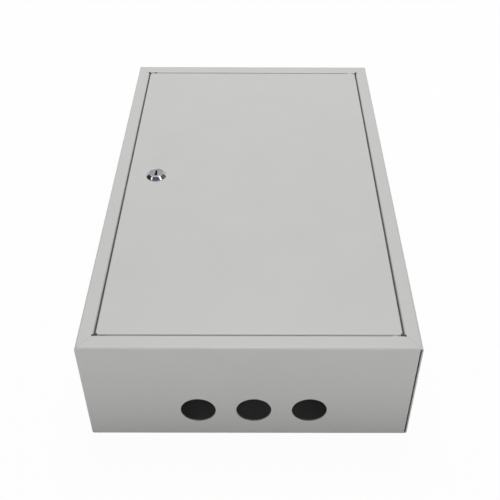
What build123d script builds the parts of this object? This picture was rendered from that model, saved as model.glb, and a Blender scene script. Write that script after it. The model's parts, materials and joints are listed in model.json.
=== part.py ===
from build123d import *
import os
from math import sqrt

# Wall-mounted sheet-steel enclosure, drawn lying on its back with the middle of the back at the origin.
# X runs across to the hinge side, Y runs up the wall it will hang on, Z points out of the door.

# Box
width = 300.0
height = 500.0
depth = 120.0

# Folded sheet
sheet = 1.2
bend_inner = 0.8
overrun = 1.0

# Front frame: a flange on the face, turned back into a lip round the door opening
flange_side = 14.0
flange_end = 16.0
lip = 18.0
mitre_gap = 0.1
relief_margin = 0.3

# End panels, let in between the side walls and pushed to the left
weld_flange = 14.0
seam_gap = 1.4

# Cable entries in the bottom end
entry_radius = 16.25
entry_pitch = 51.5
entry_offset = 4.0
entry_level = 35.0

# Wall-fixing holes in the back
fixing_inset_x = 25.0
fixing_inset_y = 30.0
fixing_radius = 4.0

# Stop tabs on the lock-side lip, each with a rubber bumper
stop_end_inset = 116.0
stop_width = 24.0
stop_reach = 8.0
bumper_inset = 1.0
bumper_width = 6.0
bumper_length = 20.0
bumper_round = 0.8
bumper_gap = 0.3

# Door pan
door_gap_side = 1.5
door_gap_upper = 1.7
door_gap_lower = 0.3
door_return = 14.0
door_bend_inner = 0.3
door_notch = 2.0

# Hinge: a bush riveted to each end of the door, turning in a hole in the lip
pivot_inset = 6.9
pivot_setback = 4.5
bush_radius = 4.0
bush_clearance = 0.06
bush_reach = 0.3
bush_end_gap = 0.4
rivet_radius = 1.6
rivet_clearance = 0.03
rivet_head_radius = 3.2
rivet_head = 0.9
rivet_recess_clearance = 0.1
rivet_tail_radius = 2.5
rivet_tail = 2.0

# Lock: housing through the door, plug turning inside it
lock_inset = 30.4
lock_rise = 2.0
lock_head_radius = 11.0
lock_head_edge = 0.7
lock_head_height = 4.0
lock_rim_radius = 7.9
lock_rim_round = 0.25
barrel_radius = 9.4
barrel_flats = 16.0
barrel_clearance = 0.2
plug_radius = 7.2
plug_clearance = 0.1
plug_recess = 0.15
keyway_length = 9.2
keyway_narrow = 2.1
keyway_wide = 2.9
keyway_overlap = 1.0
keyway_depth = 14.0
lock_nut_flats = 24.0
lock_nut_height = 4.0

# Lock cam and its fixing
cam_drop = 2.0
cam_running_gap = 0.3
cam_thickness = 2.0
cam_hub_radius = 9.0
cam_tip_radius = 7.0
cam_overlap = 7.0
tail_radius = 5.0
tail_flats = 7.0
tail_clearance = 0.08
tail_short = 0.2
cam_screw_radius = 2.5
cam_screw_length = 9.0
cam_screw_flats = 8.0
cam_screw_head = 3.5
cam_washer_radius = 6.5
cam_washer_height = 1.2

# Mounting plate on welded studs
plate_margin_x = 35.0
plate_margin_y = 45.0
plate_sheet = 1.5
plate_bend_inner = 1.0
plate_edge = 9.0
plate_level = 12.0
stud_inset = 12.0
stud_radius = 3.0
stud_chamfer = 0.5
stud_spare = 3.0
stud_hole_clearance = 0.3
spacer_radius = 5.5

# Nuts and washers on the 6 mm studs
thread_clearance = 0.05
nut_flats = 10.0
nut_height = 5.0
nut_chamfer = 0.5
washer_radius = 6.0
washer_height = 1.2

# Rails for modular devices
rail_width = 35.0
rail_base_width = 27.0
rail_rise = 7.5
rail_sheet = 1.0
rail_bend = 0.4
rail_inset = 15.0
rail_end_inset = 65.0
rail_slot_pitch = 25.0
rail_slot_length = 15.0
rail_slot_width = 6.2
rail_screw_radius = 2.5
rail_screw_head_radius = 4.6
rail_screw_head = 2.8
rail_screw_round = 1.2
rail_screw_spare = 4.0
rail_hole_clearance = 0.1

# Earth studs inside the body and the door
body_earth_inset_x = 50.0
body_earth_inset_y = 28.0
door_earth_inset_x = 30.0
door_earth_inset_y = 30.0
earth_length = 15.0
earth_washer_radius = 7.0

# Places worked out from the sizes above
half_width = width / 2
half_height = height / 2
bend_outer = bend_inner + sheet
lip_x = half_width - flange_side
lip_y = half_height - flange_end
lip_rear = depth - lip
mitre_slope = flange_end / flange_side
mitre_shift = mitre_gap / 2 * sqrt(1 + mitre_slope**2)
mitre_overrun = overrun * mitre_slope
mitre_lip_y = lip_y + bend_outer * mitre_slope
relief_radius = sheet + relief_margin
stop_spread = 2 * (lip_y - stop_end_inset)

door_half_width = lip_x - door_gap_side
door_ends = {-1: lip_y - door_gap_lower, 1: lip_y - door_gap_upper}
door_half_height = (door_ends[-1] + door_ends[1]) / 2
door_y = (door_ends[1] - door_ends[-1]) / 2
door_rear = depth - door_return
door_inner = depth - sheet
door_bend_outer = door_bend_inner + sheet

pivot_x = door_half_width - pivot_inset
pivot_z = depth - pivot_setback
bush_end = lip_y + sheet + bush_reach

lock_x = lock_inset - door_half_width
lock_place = (lock_x, lock_rise)
lock_axis = Axis((*lock_place, 0), (0, 0, 1))
cam_top = lip_rear - cam_drop
cam_bottom = cam_top - cam_thickness
cam_reach = lock_inset + door_gap_side + sheet + cam_overlap
plug_top = depth + lock_head_height - plug_recess
screw_seat = cam_bottom - cam_washer_height
cam_hole_radius = tail_radius + tail_clearance
cam_hole_flats = tail_flats + 2 * tail_clearance

plate_top = plate_level + plate_sheet
plate_half_width = half_width - plate_margin_x
plate_half_height = half_height - plate_margin_y
stud_spacing_x = 2 * (plate_half_width - stud_inset)
stud_spacing_y = 2 * (plate_half_height - stud_inset)
nut_level = plate_top + washer_height
stud_top = nut_level + nut_height + stud_spare

rail_length = 2 * (plate_half_width - rail_inset)
rail_spread = plate_half_height - rail_end_inset
rail_slots = int(rail_length // rail_slot_pitch) - 1
rail_screw_spacing = rail_slot_pitch * (rail_slots - 1)
rail_places = {"din_rail_lower": -rail_spread, "din_rail_middle": 0, "din_rail_upper": rail_spread}

body_earth = (half_width - body_earth_inset_x, body_earth_inset_y - half_height)
door_earth = (door_half_width - door_earth_inset_x, door_earth_inset_y - door_ends[-1])


def end_plane(end, distance):
    """Plane across Y that faces outwards at one end, with its own x along the width and its y along Z."""
    return Plane(origin=(0, end * distance, 0), x_dir=(-end, 0, 0), z_dir=(0, end, 0))


def folded_end(end):
    """End panel of the box: lip, flange, wall and a flange that lies on the back, mitred at the front."""
    with BuildPart() as panel:
        with BuildSketch(Plane.YZ):
            with BuildLine():
                FilletPolyline(
                    (end * lip_y, lip_rear),
                    (end * lip_y, depth),
                    (end * half_height, depth),
                    (end * half_height, sheet),
                    (end * (half_height - weld_flange), sheet),
                    radius=bend_outer,
                )
                offset(amount=sheet, side=Side.LEFT if end < 0 else Side.RIGHT)
            make_face()
        extrude(amount=half_width, both=True)

        # The wall ends between the side walls, with its seam run up to the flange and notches over their bends
        with BuildSketch(Plane.XZ):
            with Locations((half_width - sheet - seam_gap, 0)):
                Rectangle(sheet + seam_gap, depth - sheet, align=(Align.MIN, Align.MIN))
            with Locations((sheet - half_width, 0)):
                Rectangle(sheet, depth - bend_outer, align=(Align.MAX, Align.MIN))
            with Locations((half_width, 0)):
                Rectangle(sheet + bend_outer, sheet + bend_outer, align=(Align.MAX, Align.MIN))
            with Locations((-half_width, 0)):
                Rectangle(sheet + bend_outer, sheet + bend_outer, align=(Align.MIN, Align.MIN))
        extrude(amount=half_height + overrun, both=True, mode=Mode.SUBTRACT)

        # Mitres at the front corners
        with BuildSketch(Plane.XY.offset(lip_rear - overrun)):
            with BuildLine():
                Polyline(
                    (lip_x - overrun, end * (lip_y - mitre_overrun + mitre_shift)),
                    (half_width + overrun, end * (half_height + mitre_overrun + mitre_shift)),
                    (half_width + overrun, end * (lip_y - mitre_overrun + mitre_shift)),
                    close=True,
                )
            make_face()
            mirror(about=Plane.YZ)
        extrude(amount=lip + 2 * overrun, mode=Mode.SUBTRACT)

        # Corner reliefs, and hinge holes for a door hung on either side
        with BuildSketch(Plane.XY.offset(lip_rear - overrun)):
            with Locations((lip_x, end * lip_y), (-lip_x, end * lip_y)):
                Circle(relief_radius)
        extrude(amount=lip + 2 * overrun, mode=Mode.SUBTRACT)
        with BuildSketch(end_plane(end, lip_y - overrun)):
            with Locations((pivot_x, pivot_z), (-pivot_x, pivot_z)):
                Circle(bush_radius + bush_clearance)
        extrude(amount=overrun + sheet + bush_reach + bush_end_gap, mode=Mode.SUBTRACT)
    return panel.part


def washers(places, level, outer_radius, inner_radius, thickness):
    """Flat rings lying on one level."""
    with BuildPart() as rings:
        with BuildSketch(Plane.XY.offset(level)):
            with Locations(*places):
                Circle(outer_radius)
                Circle(inner_radius, mode=Mode.SUBTRACT)
        extrude(amount=thickness)
    return rings.part


def hex_nuts(places, level, flats, bore_radius, thickness):
    """Hexagon nuts lying on one level, with their outer edges broken."""
    with BuildPart() as nuts:
        with BuildSketch(Plane.XY.offset(level)):
            with Locations(*places):
                RegularPolygon(flats / 2, 6, major_radius=False)
        extrude(amount=thickness)
        chamfer(edges().filter_by(Plane.XY), length=nut_chamfer)
        with BuildSketch(Plane.XY.offset(level)):
            with Locations(*places):
                Circle(bore_radius)
        extrude(amount=thickness, mode=Mode.SUBTRACT)
    return nuts.part


def studs(places, level, length):
    """Round studs standing on one level, with a chamfer on the free end."""
    with BuildPart() as pins:
        with BuildSketch(Plane.XY.offset(level)):
            with Locations(*places):
                Circle(stud_radius)
        extrude(amount=length)
        circles = edges().filter_by(GeomType.CIRCLE).group_by(Axis.Z)
        chamfer(circles[-1] if length > 0 else circles[0], length=stud_chamfer)
    return pins.part


def rail(place):
    """Top-hat rail with a row of slots along its base."""
    brim_under = plate_top + rail_rise - rail_sheet
    with BuildPart() as hat:
        with BuildSketch(Plane.YZ):
            with BuildLine():
                FilletPolyline(
                    (place - rail_width / 2, brim_under),
                    (place - rail_base_width / 2, brim_under),
                    (place - rail_base_width / 2, plate_top),
                    (place + rail_base_width / 2, plate_top),
                    (place + rail_base_width / 2, brim_under),
                    (place + rail_width / 2, brim_under),
                    radius=[rail_bend, rail_bend + rail_sheet, rail_bend + rail_sheet, rail_bend],
                )
                offset(amount=rail_sheet, side=Side.LEFT)
            make_face()
        extrude(amount=rail_length / 2, both=True)
        with BuildSketch(Plane.XY.offset(plate_top - overrun)):
            with Locations((0, place)):
                with GridLocations(rail_slot_pitch, rail_slot_pitch, rail_slots, 1):
                    SlotOverall(rail_slot_length, rail_slot_width)
        extrude(amount=rail_sheet + 2 * overrun, mode=Mode.SUBTRACT)
    return hat.part


def hinge_bush(end):
    """Bush on one end of the door, with a recess for the rivet head."""
    place = (-end * pivot_x, pivot_z)
    with BuildPart() as bush:
        with BuildSketch(end_plane(end, door_ends[end])):
            with Locations(place):
                Circle(bush_radius)
                Circle(rivet_radius + rivet_clearance, mode=Mode.SUBTRACT)
        extrude(amount=bush_end - door_ends[end])
        with BuildSketch(end_plane(end, bush_end)):
            with Locations(place):
                Circle(rivet_head_radius + rivet_recess_clearance)
        extrude(amount=-rivet_head, mode=Mode.SUBTRACT)
    return bush.part


# Left wall, back and right wall, folded from one sheet
with BuildPart() as body_shell:
    with BuildSketch(Plane.XZ):
        with BuildLine():
            FilletPolyline(
                (-lip_x, lip_rear),
                (-lip_x, depth),
                (-half_width, depth),
                (-half_width, 0),
                (half_width, 0),
                (half_width, depth),
                (lip_x, depth),
                (lip_x, lip_rear),
                radius=bend_outer,
            )
            offset(amount=sheet, side=Side.LEFT)
        make_face()
    extrude(amount=half_height, both=True)

    # Mitres at the ends of the flanges, then of the lips
    with BuildSketch(Plane.XY.offset(depth - bend_outer)):
        with BuildLine():
            Polyline(
                (half_width + overrun, half_height + mitre_overrun - mitre_shift),
                (lip_x - overrun, lip_y - mitre_overrun - mitre_shift),
                (lip_x - overrun, half_height + mitre_overrun - mitre_shift),
                close=True,
            )
        make_face()
        mirror(about=Plane.YZ)
        mirror(about=Plane.XZ)
    extrude(amount=bend_outer + overrun, mode=Mode.SUBTRACT)
    with BuildSketch(Plane.XY.offset(lip_rear - overrun)):
        with BuildLine():
            Polyline(
                (lip_x + bend_outer, mitre_lip_y - mitre_shift),
                (lip_x - overrun, lip_y - mitre_overrun - mitre_shift),
                (lip_x - overrun, half_height + overrun),
                (lip_x + bend_outer, half_height + overrun),
                close=True,
            )
        make_face()
        mirror(about=Plane.YZ)
        mirror(about=Plane.XZ)
    extrude(amount=lip + overrun, mode=Mode.SUBTRACT)
    with BuildSketch(Plane.XY.offset(lip_rear - overrun)):
        with GridLocations(2 * lip_x, 2 * lip_y, 2, 2):
            Circle(relief_radius)
    extrude(amount=lip + 2 * overrun, mode=Mode.SUBTRACT)

    # Holes for fixing to a wall
    with BuildSketch(Plane.XY.offset(-overrun)):
        with GridLocations(width - 2 * fixing_inset_x, height - 2 * fixing_inset_y, 2, 2):
            Circle(fixing_radius)
    extrude(amount=sheet + 2 * overrun, mode=Mode.SUBTRACT)

    # Stop tabs, folded out of the rear edge of the lock-side lip
    with BuildSketch(Plane.XY.offset(lip_rear)):
        with Locations((-lip_x - sheet / 2, 0)):
            with GridLocations(sheet, stop_spread, 1, 2):
                Rectangle(sheet, stop_width)
    extrude(amount=bend_outer, mode=Mode.SUBTRACT)
    for place in (-stop_spread / 2, stop_spread / 2):
        with BuildSketch(Plane.XZ.offset(-place)):
            with BuildLine():
                FilletPolyline(
                    (-lip_x - sheet, lip_rear + 2 * bend_outer),
                    (-lip_x - sheet, lip_rear),
                    (stop_reach - lip_x, lip_rear),
                    radius=bend_outer,
                )
                offset(amount=sheet, side=Side.LEFT)
            make_face()
        extrude(amount=stop_width / 2, both=True)

# Bottom end with the cable entries
with BuildPart() as bottom_panel:
    add(folded_end(-1))
    with BuildSketch(end_plane(-1, half_height + overrun)):
        with Locations((entry_offset, entry_level)):
            with GridLocations(entry_pitch, entry_pitch, 3, 1):
                Circle(entry_radius)
    extrude(amount=-(sheet + 2 * overrun), mode=Mode.SUBTRACT)

with BuildPart() as top_panel:
    add(folded_end(1))

with BuildPart() as door_bumpers:
    with BuildSketch(Plane.XY.offset(lip_rear + sheet)):
        with Locations((bumper_inset + bumper_width / 2 - lip_x, 0)):
            with GridLocations(bumper_width, stop_spread, 1, 2):
                Rectangle(bumper_width, bumper_length)
    extrude(amount=door_rear - bumper_gap - lip_rear - sheet)
    fillet(edges().filter_by(Axis.Z), radius=bumper_round)

# Door: a pan with its corners notched for folding, lock hole, and hinge holes on both sides
with BuildPart() as door_panel:
    with BuildSketch(Plane.XY.offset(door_rear)):
        with Locations((0, door_y)):
            Rectangle(2 * door_half_width, 2 * door_half_height)
    extrude(amount=door_return)
    fillet(faces().sort_by(Axis.Z)[-1].edges(), radius=door_bend_outer)
    offset(amount=-sheet, openings=faces().sort_by(Axis.Z)[0])
    with BuildSketch(Plane.XY.offset(door_rear - overrun)):
        with Locations((0, door_y)):
            with GridLocations(2 * door_half_width, 2 * door_half_height, 2, 2):
                Rectangle(2 * door_notch, 2 * door_notch)
    extrude(amount=door_return + 2 * overrun, mode=Mode.SUBTRACT)
    with BuildSketch(Plane.XY.offset(door_inner - overrun)):
        with Locations(lock_place):
            Circle(barrel_radius + barrel_clearance)
            Rectangle(barrel_flats + 2 * barrel_clearance, 2 * lock_head_radius, mode=Mode.INTERSECT)
    extrude(amount=sheet + 2 * overrun, mode=Mode.SUBTRACT)
    for end in (-1, 1):
        with BuildSketch(end_plane(end, door_ends[end] + overrun)):
            with Locations((pivot_x, pivot_z), (-pivot_x, pivot_z)):
                Circle(rivet_radius + rivet_clearance)
        extrude(amount=-(sheet + 2 * overrun), mode=Mode.SUBTRACT)

# Rivets from the bush recess through the end of the door
with BuildPart() as hinge_rivets:
    for end in (-1, 1):
        place = (-end * pivot_x, pivot_z)
        head_seat = bush_end - rivet_head
        with BuildSketch(end_plane(end, head_seat)):
            with Locations(place):
                Circle(rivet_head_radius)
        extrude(amount=rivet_head)
        with BuildSketch(end_plane(end, head_seat)):
            with Locations(place):
                Circle(rivet_radius)
        extrude(amount=-(head_seat - door_ends[end] + sheet))
        with BuildSketch(end_plane(end, door_ends[end] - sheet)):
            with Locations(place):
                Circle(rivet_tail_radius)
        extrude(amount=-rivet_tail)

# Lock housing: bevelled head over a flatted barrel
with BuildPart() as lock_housing:
    with BuildSketch(Plane(origin=(*lock_place, depth), x_dir=(1, 0, 0), z_dir=(0, -1, 0))):
        with BuildLine():
            Polyline(
                (plug_radius + plug_clearance, lock_head_height),
                (lock_rim_radius, lock_head_height),
                (lock_head_radius, lock_head_edge),
                (lock_head_radius, 0),
                (barrel_radius, 0),
                (barrel_radius, cam_top + cam_running_gap - depth),
                (plug_radius + plug_clearance, cam_top + cam_running_gap - depth),
                close=True,
            )
        make_face()
    revolve(axis=lock_axis)
    rim = edges().filter_by(GeomType.CIRCLE).group_by(Axis.Z)[-1].sort_by(SortBy.RADIUS)[-1]
    fillet(rim, radius=lock_rim_round)
    with BuildSketch(Plane.XY.offset(depth)):
        with Locations(lock_place):
            Circle(lock_head_radius)
            Rectangle(barrel_flats, 2 * lock_head_radius, mode=Mode.SUBTRACT)
    extrude(amount=cam_top - depth, mode=Mode.SUBTRACT)

# Lock plug: keyway in the face, flatted tail for the cam, tapped hole for its screw
with BuildPart() as lock_plug:
    with BuildSketch(Plane.XY.offset(cam_top)):
        with Locations(lock_place):
            Circle(plug_radius)
    extrude(amount=plug_top - cam_top)
    with BuildSketch(Plane.XY.offset(cam_top)):
        with Locations(lock_place):
            Circle(tail_radius)
            Rectangle(2 * tail_radius, tail_flats, mode=Mode.INTERSECT)
    extrude(amount=tail_short - cam_thickness)
    with BuildSketch(Plane.XY.offset(plug_top)):
        half_slot = (keyway_length + keyway_overlap) / 2
        with Locations((lock_x, lock_rise + (keyway_length - half_slot) / 2)):
            SlotOverall(half_slot, keyway_narrow, rotation=90)
        with Locations((lock_x, lock_rise + (half_slot - keyway_length) / 2)):
            SlotOverall(half_slot, keyway_wide, rotation=90)
    extrude(amount=-keyway_depth, mode=Mode.SUBTRACT)
    with BuildSketch(Plane.XY.offset(screw_seat)):
        with Locations(lock_place):
            Circle(cam_screw_radius + thread_clearance)
    extrude(amount=cam_screw_length + overrun, mode=Mode.SUBTRACT)

# Cam, pointing up the door while unlocked
with BuildPart() as lock_cam:
    with BuildSketch(Plane.XY.offset(cam_bottom)):
        with Locations(lock_place):
            Circle(cam_hub_radius)
        with Locations((lock_x, lock_rise + cam_reach - cam_tip_radius)):
            Circle(cam_tip_radius)
        make_hull()
        with BuildSketch(mode=Mode.SUBTRACT):
            with Locations(lock_place):
                Circle(cam_hole_radius)
                Rectangle(2 * cam_hole_radius, cam_hole_flats, mode=Mode.INTERSECT)
    extrude(amount=cam_thickness)

with BuildPart() as cam_screw:
    with BuildSketch(Plane.XY.offset(screw_seat)):
        with Locations(lock_place):
            Circle(cam_screw_radius)
    extrude(amount=cam_screw_length)
    with BuildSketch(Plane.XY.offset(screw_seat)):
        with Locations(lock_place):
            RegularPolygon(cam_screw_flats / 2, 6, major_radius=False)
    extrude(amount=-cam_screw_head)
    chamfer(faces().sort_by(Axis.Z)[0].edges(), length=nut_chamfer)

# Mounting plate with its long edges folded back
with BuildPart() as mounting_plate:
    with BuildSketch(Plane.XZ):
        with BuildLine():
            FilletPolyline(
                (-plate_half_width, plate_top - plate_edge),
                (-plate_half_width, plate_top),
                (plate_half_width, plate_top),
                (plate_half_width, plate_top - plate_edge),
                radius=plate_bend_inner + plate_sheet,
            )
            offset(amount=plate_sheet, side=Side.RIGHT)
        make_face()
    extrude(amount=plate_half_height, both=True)
    with BuildSketch(Plane.XY.offset(plate_level - overrun)):
        with GridLocations(stud_spacing_x, stud_spacing_y, 2, 2):
            Circle(stud_radius + stud_hole_clearance)
        with GridLocations(rail_screw_spacing, rail_spread, 2, 3):
            Circle(rail_screw_radius + rail_hole_clearance)
    extrude(amount=plate_sheet + 2 * overrun, mode=Mode.SUBTRACT)

# Pan-head screws through the rails into the plate
with BuildPart() as rail_screws:
    with BuildSketch(Plane.XY.offset(plate_top + rail_sheet)):
        with GridLocations(rail_screw_spacing, rail_spread, 2, 3):
            Circle(rail_screw_head_radius)
    extrude(amount=rail_screw_head)
    fillet(edges().group_by(Axis.Z)[-1], radius=rail_screw_round)
    with BuildSketch(Plane.XY.offset(plate_top + rail_sheet)):
        with GridLocations(rail_screw_spacing, rail_spread, 2, 3):
            Circle(rail_screw_radius)
    extrude(amount=-(rail_sheet + plate_sheet + rail_screw_spare))

stud_places = [(x, y) for x in (-stud_spacing_x / 2, stud_spacing_x / 2)
               for y in (-stud_spacing_y / 2, stud_spacing_y / 2)]
stud_bore = stud_radius + thread_clearance

pieces = {
    "body_shell": body_shell.part,
    "bottom_panel": bottom_panel.part,
    "top_panel": top_panel.part,
    "door_bumpers": door_bumpers.part,
    "plate_studs": studs(stud_places, sheet, stud_top - sheet),
    "plate_spacers": washers(stud_places, sheet, spacer_radius, stud_bore, plate_level - sheet),
    "mounting_plate": mounting_plate.part,
    "plate_washers": washers(stud_places, plate_top, washer_radius, stud_bore, washer_height),
    "plate_nuts": hex_nuts(stud_places, nut_level, nut_flats, stud_bore, nut_height),
    "rail_screws": rail_screws.part,
    "body_earth_stud": studs([body_earth], sheet, earth_length),
    "body_earth_washer": washers([body_earth], sheet, earth_washer_radius, stud_bore, washer_height),
    "body_earth_nut": hex_nuts([body_earth], sheet + washer_height, nut_flats, stud_bore, nut_height),
    "door_panel": door_panel.part,
    "hinge_bush_lower": hinge_bush(-1),
    "hinge_bush_upper": hinge_bush(1),
    "hinge_rivets": hinge_rivets.part,
    "lock_housing": lock_housing.part,
    "lock_nut": hex_nuts([lock_place], door_inner - lock_nut_height, lock_nut_flats,
                         barrel_radius + thread_clearance, lock_nut_height),
    "door_earth_stud": studs([door_earth], door_inner, -earth_length),
    "door_earth_washer": washers([door_earth], door_inner, earth_washer_radius, stud_bore, -washer_height),
    "door_earth_nut": hex_nuts([door_earth], door_inner - washer_height - nut_height, nut_flats,
                               stud_bore, nut_height),
    "lock_plug": lock_plug.part,
    "lock_cam": lock_cam.part,
    "cam_washer": washers([lock_place], screw_seat, cam_washer_radius,
                          cam_screw_radius + thread_clearance, cam_washer_height),
    "cam_screw": cam_screw.part,
}
for name, place in rail_places.items():
    pieces[name] = rail(place)

os.makedirs("parts", exist_ok=True)
for name, piece in pieces.items():
    piece.label = name
    export_step(piece, f"parts/{name}.step")
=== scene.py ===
"""Dresses the sheet-steel wall enclosure: its finishes, fasteners, lock, studio and camera.

Sizes are in metres in the enclosure's own frame, as it lies on its back: X runs across to the hinge side,
Y runs up the wall that it will hang on, and Z points out of the door.
"""
import json
import logging
from dataclasses import dataclass
from enum import Enum
from math import cos, pi, radians, sin, tan
from typing import Any, ClassVar, Mapping, Sequence

import bpy
import numpy as np
from mathutils import Matrix, Vector


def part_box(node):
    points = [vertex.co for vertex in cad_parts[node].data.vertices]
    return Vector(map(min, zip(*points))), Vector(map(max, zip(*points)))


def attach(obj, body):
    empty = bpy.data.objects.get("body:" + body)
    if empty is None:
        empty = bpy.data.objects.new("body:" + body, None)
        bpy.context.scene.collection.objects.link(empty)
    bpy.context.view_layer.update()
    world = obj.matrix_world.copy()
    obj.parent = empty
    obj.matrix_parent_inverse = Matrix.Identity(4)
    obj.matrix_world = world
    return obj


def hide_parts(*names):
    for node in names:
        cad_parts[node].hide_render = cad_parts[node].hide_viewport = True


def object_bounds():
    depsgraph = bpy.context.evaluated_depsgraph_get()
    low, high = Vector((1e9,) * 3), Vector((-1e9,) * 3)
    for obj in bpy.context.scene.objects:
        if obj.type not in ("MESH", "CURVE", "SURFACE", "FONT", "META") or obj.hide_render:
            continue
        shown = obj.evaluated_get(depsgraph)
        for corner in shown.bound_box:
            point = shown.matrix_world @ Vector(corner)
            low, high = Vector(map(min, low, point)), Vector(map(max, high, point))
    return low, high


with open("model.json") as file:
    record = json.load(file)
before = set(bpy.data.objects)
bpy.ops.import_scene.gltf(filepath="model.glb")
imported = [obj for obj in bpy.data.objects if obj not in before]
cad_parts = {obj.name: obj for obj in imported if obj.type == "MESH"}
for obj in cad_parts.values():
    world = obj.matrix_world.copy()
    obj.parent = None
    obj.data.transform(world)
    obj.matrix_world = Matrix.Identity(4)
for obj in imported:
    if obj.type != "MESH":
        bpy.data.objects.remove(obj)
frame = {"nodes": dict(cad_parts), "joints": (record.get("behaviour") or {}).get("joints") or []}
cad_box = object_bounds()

Array = np.ndarray
Shade = tuple[int, int, int]
Point = tuple[float, float, float]

log = logging.getLogger("enclosure")

TURN = 2 * pi
SHARP_ANGLE = radians(32)
LEAST_COSINE = 1e-6


class Slot(Enum):
    """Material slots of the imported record."""

    PAINT = "grey_paint"
    ZINC = "zinc_plate"
    CHROME = "bright_chrome"
    NICKEL = "satin_nickel"
    NYLON = "white_nylon"
    ALUMINIUM = "rivet_aluminium"
    RUBBER = "black_rubber"


class Body(Enum):
    """Bodies that pieces ride on."""

    BOX = "body"
    DOOR = "door"
    LOCK = "lock"


class Closing(Enum):
    """How a stack of rings is closed: by a fan over each end, or by joining the last ring to the first."""

    CAPPED = "capped"
    LOOPED = "looped"


class Facing(Enum):
    """Way that a piece's own axis points, as the rotation that takes +Z there."""

    OUT = ((1, 0, 0), (0, 1, 0), (0, 0, 1))
    IN = ((1, 0, 0), (0, -1, 0), (0, 0, -1))
    UP = ((1, 0, 0), (0, 0, 1), (0, -1, 0))
    DOWN = ((1, 0, 0), (0, 0, -1), (0, 1, 0))


class Fixing(Enum):
    """What stands on the axis of a stud, the stud itself included."""

    ROD = "rod"
    RING = "ring"
    NUT = "hexagon"


@dataclass
class Surface:
    """Closed surface: points, with the quads and triangles that index them."""

    points: Array
    quads: Array
    triangles: Array

    def outward(self) -> "Surface":
        """Turns all faces round if their corner products, six times the volume, add up below zero.

        Returns:
            The surface with its faces pointing outwards.
        """
        halves = np.vstack([self.quads[:, [0, 1, 2]], self.quads[:, [0, 2, 3]], self.triangles])
        a, b, c = (self.points[halves[:, corner]] for corner in range(3))
        if np.einsum("ij,ij->", a, np.cross(b, c)) >= 0:
            return self
        return Surface(self.points, self.quads[:, ::-1], self.triangles[:, ::-1])

    def placed(self, origin: Sequence[float], facing: Facing = Facing.OUT) -> "Surface":
        """Turns the surface's own axis to a facing and moves it: a rotation of all points, then a shift.

        Args:
            origin: Where the surface's own origin goes.
            facing: Way that its own +Z points.

        Returns:
            The moved surface.
        """
        points = self.points @ np.array(facing.value, float).T + np.array(origin, float)
        return Surface(points, self.quads, self.triangles)

    @staticmethod
    def joined(parts: Sequence["Surface"]) -> "Surface":
        """Puts several surfaces into one, with each one's indices raised by the points before it.

        Args:
            parts: Surfaces to put together.

        Returns:
            One surface that holds them all.
        """
        starts = np.cumsum([0] + [len(part.points) for part in parts[:-1]])
        return Surface(
            np.vstack([part.points for part in parts]),
            np.vstack([part.quads + start for part, start in zip(parts, starts)]),
            np.vstack([part.triangles + start for part, start in zip(parts, starts)]),
        )

    def mesh(self, name: str) -> bpy.types.Mesh:
        """Writes the arrays into a mesh that is smooth except across sharp folds.

        Args:
            name: Name of the new mesh.

        Returns:
            The mesh.
        """
        corners = np.concatenate([self.quads.ravel(), self.triangles.ravel()]).astype(np.int32)
        sizes = np.repeat([4, 3], [len(self.quads), len(self.triangles)])
        mesh = bpy.data.meshes.new(name)
        mesh.vertices.add(len(self.points))
        mesh.vertices.foreach_set("co", self.points.astype(np.float32).ravel())
        mesh.loops.add(len(corners))
        mesh.loops.foreach_set("vertex_index", corners)
        mesh.polygons.add(len(sizes))
        mesh.polygons.foreach_set("loop_start", (np.cumsum(sizes) - sizes).astype(np.int32))
        mesh.polygons.foreach_set("use_smooth", np.ones(len(sizes), bool))
        mesh.update(calc_edges=True)
        mesh.validate()
        mesh.set_sharp_from_angle(angle=SHARP_ANGLE)
        return mesh


def ring_angles(columns: int) -> Array:
    """Evenly spaced directions round a ring, without the repeated last one."""
    return np.linspace(0, TURN, columns, endpoint=False)


def stacked(rings: Array, closing: Closing) -> Surface:
    """Joins rings of points into a closed surface, with a quad between neighbours both ways.

    Args:
        rings: Points as an array of rows by columns by three, the columns closed on themselves.
        closing: How the first and last rows are closed.

    Returns:
        The surface, facing outwards.
    """
    rows, columns = rings.shape[:2]
    index = np.arange(rows * columns).reshape(rows, columns)
    lower, upper = index[:-1], index[1:]
    if closing is Closing.LOOPED:
        lower, upper = index, np.roll(index, -1, axis=0)
    quads = np.stack([lower, np.roll(lower, -1, 1), np.roll(upper, -1, 1), upper], axis=-1).reshape(-1, 4)
    points, triangles = rings.reshape(-1, 3), np.empty((0, 3), int)
    if closing is Closing.CAPPED:
        first, last = index[0], index[-1]
        hubs = np.full(columns, rows * columns), np.full(columns, rows * columns + 1)
        near = np.stack([hubs[0], np.roll(first, -1), first], axis=-1)
        far = np.stack([hubs[1], last, np.roll(last, -1)], axis=-1)
        points = np.vstack([points, rings[[0, -1]].mean(axis=1)])
        triangles = np.vstack([near, far])
    return Surface(points, quads, triangles).outward()


def swept_reach(reach: Array, heights: Array, angles: Array) -> Array:
    """Rings about Z: each point lies at a reach from the axis, in its column's direction, at a height.

    Args:
        reach: Distance from the axis for each row and column.
        heights: Height for each row, or for each row and column.
        angles: Direction of each column.

    Returns:
        Points as rows by columns by three.
    """
    levels = heights if heights.ndim == 2 else heights[:, None]
    reach, levels = np.broadcast_arrays(reach, levels + 0 * angles)
    return np.stack([reach * np.cos(angles), reach * np.sin(angles), levels], axis=-1)


def revolved(profile: Array, columns: int, closing: Closing) -> Surface:
    """Turns a profile of (radius, height) points about the Z axis.

    Args:
        profile: Points of the profile, in order.
        columns: Number of steps round the axis.
        closing: CAPPED for a profile from axis to axis, LOOPED for a closed section.

    Returns:
        The turned surface.
    """
    reach = profile[:, :1] * np.ones(columns)
    return stacked(swept_reach(reach, profile[:, 1], ring_angles(columns)), closing)


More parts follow.
